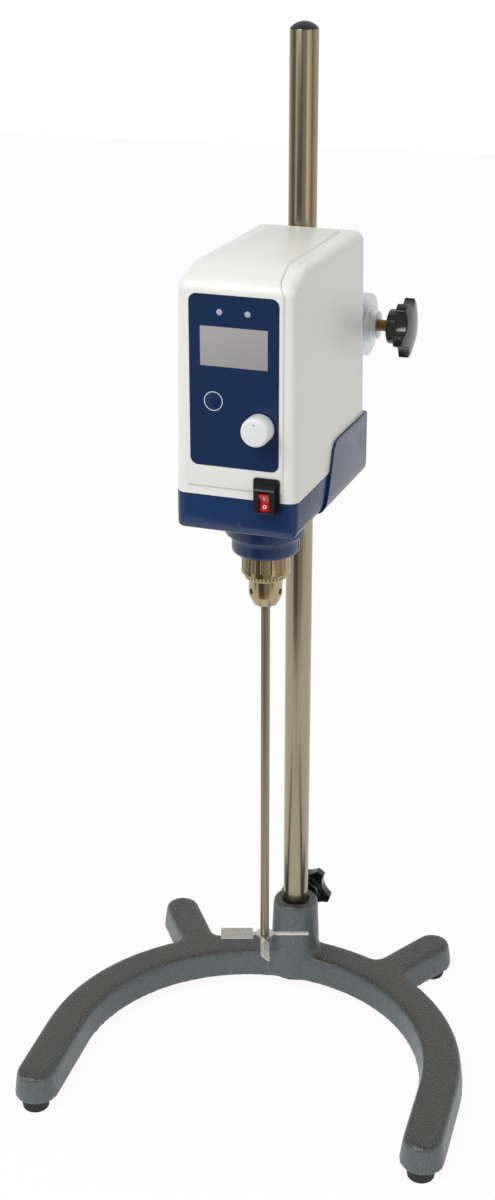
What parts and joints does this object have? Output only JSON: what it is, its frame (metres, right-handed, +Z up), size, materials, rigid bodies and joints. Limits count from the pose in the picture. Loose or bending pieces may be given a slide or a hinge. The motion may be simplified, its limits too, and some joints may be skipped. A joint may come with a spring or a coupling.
{
  "type": "overhead laboratory stirrer",
  "caption": "Overhead stirrer head clamped to a post on an arched U-shaped cast stand, with a keyed jaw chuck gripping a stirring shaft with a pitched-blade impeller.",
  "frame": {"origin": "middle of the stand's footprint on the table plane", "axes": "+Z up along the post, -Y towards the open front of the stand, +X to the right seen from the front"},
  "size_m": [0.4064, 0.347, 0.952],
  "materials": {
    "hammertone_paint": "hammered grey paint on cast iron",
    "foot_rubber": "black rubber",
    "zinc_steel": "zinc-plated steel",
    "post_steel": "ground stainless steel tube",
    "black_plastic": "satin black moulding",
    "pad_plastic": "natural nylon",
    "clamp_aluminium": "turned and bead-blasted",
    "brass": "turned brass, dulled",
    "cream_paint": "semi-gloss cream",
    "navy_paint": "semi-gloss blue",
    "cast_aluminium": "as cast",
    "motor_black": "black lacquer",
    "board_green": "circuit board with solder mask",
    "overlay_film": "printed blue film",
    "display_film": "plain grey window",
    "lamp_plastic": "clear grey lens",
    "white_plastic": "satin white moulding",
    "switch_red": "glossy red moulding",
    "rotor_steel": "laminated steel and copper",
    "chuck_steel": "polished hardened steel",
    "shaft_steel": "drawn stainless steel",
    "blade_steel": "brushed stainless sheet"
  },
  "bodies": {
    "stand": {"base_casting": "hammertone_paint", "rubber_feet": "foot_rubber", "foot_screws": "zinc_steel"},
    "post": {"post_tube": "post_steel", "post_cap": "black_plastic"},
    "head": {"clamp_body": "cast_aluminium", "clamp_bush": "clamp_aluminium", "clamp_bolts": "zinc_steel", "housing_shell": "cream_paint", "bottom_cover": "navy_paint", "cover_screws": "zinc_steel", "chassis": "cast_aluminium", "motor_can": "motor_black", "motor_screws": "zinc_steel", "bearings": "zinc_steel", "drive_board": "board_green", "power_inlet": "black_plastic", "inlet_pins": "zinc_steel", "inlet_screws": "zinc_steel", "control_overlay": "overlay_film", "display_window": "display_film", "display_module": "display_film", "indicator_lamps": "lamp_plastic", "control_board": "board_green", "encoder_body": "zinc_steel", "switch_bezel": "black_plastic", "neck_collar": "navy_paint"},
    "lock_screw_pad": {"lock_pad": "pad_plastic"},
    "lock_screw": {"lock_stud": "zinc_steel", "lock_knob": "black_plastic"},
    "clamp_screw_pad": {"clamp_pad": "brass"},
    "clamp_screw": {"clamp_stud": "brass", "clamp_knob": "black_plastic"},
    "drive": {"spindle": "zinc_steel", "motor_rotor": "rotor_steel", "chuck_body": "chuck_steel", "stirring_shaft": "shaft_steel", "impeller": "blade_steel", "impeller_screw": "zinc_steel"},
    "chuck_ring": {"chuck_sleeve": "chuck_steel", "chuck_nut": "chuck_steel"},
    "jaw_a": {"jaw_1": "chuck_steel"},
    "jaw_b": {"jaw_2": "chuck_steel"},
    "jaw_c": {"jaw_3": "chuck_steel"},
    "mode_key": {"mode_button": "overlay_film"},
    "encoder_push": {"encoder_plunger": "brass"},
    "speed_knob": {"encoder_shaft": "zinc_steel", "control_knob": "white_plastic"},
    "rocker": {"switch_rocker": "switch_red"}
  },
  "joints": [
    {"name": "post_swivel", "type": "hinge", "parent": "stand", "child": "post", "pos_m": [0, 0.1095, 0.05], "axis": [0, 0, 1], "range_deg": [-180, 180]},
    {"name": "head_height", "type": "slide", "parent": "post", "child": "head", "axis": [0, 0, 1], "range_m": [-0.09, 0.2]},
    {"name": "lock_pad_slide", "type": "slide", "parent": "stand", "child": "lock_screw_pad", "axis": [0, 1, 0], "range_m": [0, 0.003]},
    {"name": "lock_knob_turn", "type": "hinge", "parent": "lock_screw_pad", "child": "lock_screw", "pos_m": [0, 0.1495, 0.08], "axis": [0, 1, 0], "range_deg": [0, 720]},
    {"name": "clamp_pad_slide", "type": "slide", "parent": "head", "child": "clamp_screw_pad", "axis": [0.997, -0.0774, 0], "range_m": [0, 0.003]},
    {"name": "clamp_knob_turn", "type": "hinge", "parent": "clamp_screw_pad", "child": "clamp_screw", "pos_m": [0.08973, 0.10253, 0.6975], "axis": [0.997, -0.0774, 0], "range_deg": [0, 720]},
    {"name": "spindle_spin", "type": "hinge", "parent": "head", "child": "drive", "pos_m": [0.00612, -0.03521, 0.5765], "axis": [0, 0, 1], "continuous": true},
    {"name": "chuck_sleeve_turn", "type": "hinge", "parent": "drive", "child": "chuck_ring", "pos_m": [0.00612, -0.03521, 0.5245], "axis": [0, 0, 1], "range_deg": [0, 1440]},
    {"name": "jaw_a_slide", "type": "slide", "parent": "drive", "child": "jaw_a", "axis": [0.1216, 0.124, 0.9848], "range_m": [0, 0.006]},
    {"name": "jaw_b_slide", "type": "slide", "parent": "drive", "child": "jaw_b", "axis": [-0.1682, 0.0433, 0.9848], "range_m": [0, 0.006]},
    {"name": "jaw_c_slide", "type": "slide", "parent": "drive", "child": "jaw_c", "axis": [0.0466, -0.1673, 0.9848], "range_m": [0, 0.006]},
    {"name": "mode_key_press", "type": "slide", "parent": "head", "child": "mode_key", "axis": [0.0774, 0.997, 0], "range_m": [0, 0.0005], "stiffness_N_per_m": 2000},
    {"name": "speed_knob_push", "type": "slide", "parent": "head", "child": "encoder_push", "axis": [0.0774, 0.997, 0], "range_m": [0, 0.0008], "stiffness_N_per_m": 2000},
    {"name": "speed_knob_turn", "type": "hinge", "parent": "encoder_push", "child": "speed_knob", "pos_m": [0.02203, -0.1209, 0.6645], "axis": [-0.0774, -0.997, 0], "continuous": true},
    {"name": "rocker_tilt", "type": "hinge", "parent": "head", "child": "rocker", "pos_m": [0.02782, -0.11483, 0.60505], "axis": [-0.997, 0.0774, 0], "range_deg": [0, 18]}
  ],
  "couplings": [
    {"joint": "jaw_a_slide", "follows": "chuck_sleeve_turn", "m_per_rad": 0.00023873},
    {"joint": "jaw_b_slide", "follows": "chuck_sleeve_turn", "m_per_rad": 0.00023873},
    {"joint": "jaw_c_slide", "follows": "chuck_sleeve_turn", "m_per_rad": 0.00023873},
    {"joint": "lock_knob_turn", "follows": "lock_pad_slide", "rad_per_m": 4188.8},
    {"joint": "clamp_knob_turn", "follows": "clamp_pad_slide", "rad_per_m": 4188.8}
  ]
}
